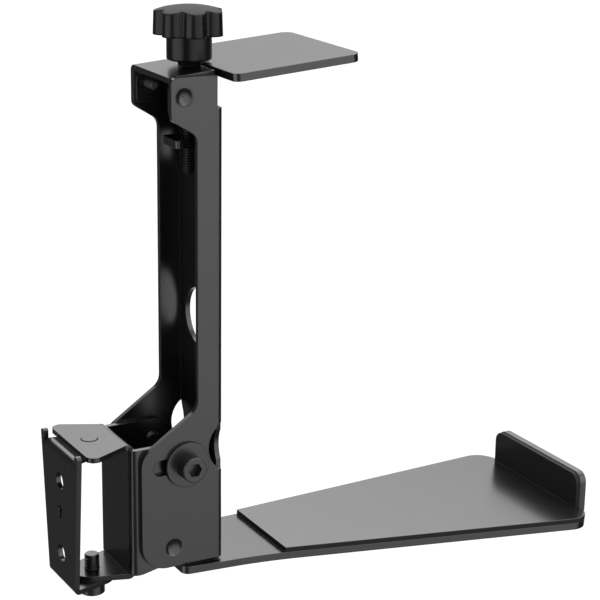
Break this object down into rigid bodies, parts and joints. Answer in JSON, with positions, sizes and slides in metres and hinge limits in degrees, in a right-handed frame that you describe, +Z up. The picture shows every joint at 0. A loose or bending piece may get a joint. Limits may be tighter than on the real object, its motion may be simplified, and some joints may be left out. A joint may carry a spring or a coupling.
{
  "type": "speaker wall bracket",
  "caption": "Folded steel wall bracket that holds a box speaker between a padded shelf and a knob-driven top clamp, with swivel and tilt.",
  "frame": {"origin": "on the wall, midway between the two wall screw holes", "axes": "+X leads away from the wall to the front lip, +Z is up, Y runs across"},
  "size_m": [0.2304, 0.0808, 0.228],
  "materials": {
    "black_steel": "smooth semi-gloss black powder coat",
    "black_screws": "black oxide, semi-gloss",
    "rod_steel": "black oxide thread",
    "black_rubber": "smooth matt rubber",
    "black_plastic": "moulded black plastic, satin"
  },
  "bodies": {
    "wall_mount": {"wall_plate": "black_steel", "swivel_pin": "black_steel"},
    "swivel_arm": {"swivel_bracket": "black_steel", "swivel_screw": "black_screws", "tilt_screw_near": "black_screws", "tilt_screw_far": "black_screws", "tilt_washer_near": "black_screws", "tilt_washer_far": "black_screws"},
    "holder": {"column": "black_steel", "support_plate": "black_steel", "support_rivet_near": "black_steel", "support_rivet_far": "black_steel", "support_pad": "black_rubber", "lip_pad": "black_rubber", "web_pad_lower": "black_rubber", "web_pad_upper": "black_rubber", "rod_retainer": "black_steel", "retainer_rivet_near": "black_steel", "retainer_rivet_far": "black_steel"},
    "hand_knob": {"knob": "black_plastic", "threaded_rod": "rod_steel"},
    "top_clamp": {"clamp": "black_steel"}
  },
  "joints": [
    {"name": "swivel", "type": "hinge", "parent": "wall_mount", "child": "swivel_arm", "pos_m": [0.0126, 0, 0], "axis": [0, 0, 1], "range_deg": [-6.5, 6.5]},
    {"name": "tilt", "type": "hinge", "parent": "swivel_arm", "child": "holder", "pos_m": [0.03987, 0, -0.01383], "axis": [0, 1, 0], "range_deg": [0, 18]},
    {"name": "knob_turn", "type": "hinge", "parent": "holder", "child": "hand_knob", "pos_m": [0.0556, 0, 0.17], "axis": [0, 0, 1], "range_deg": [-181, 3602]},
    {"name": "clamp_slide", "type": "slide", "parent": "holder", "child": "top_clamp", "axis": [0, 0, 1], "range_m": [-0.01, 0.0005]}
  ],
  "couplings": [
    {"joint": "knob_turn", "follows": "clamp_slide", "rad_per_m": -6283.2}
  ]
}
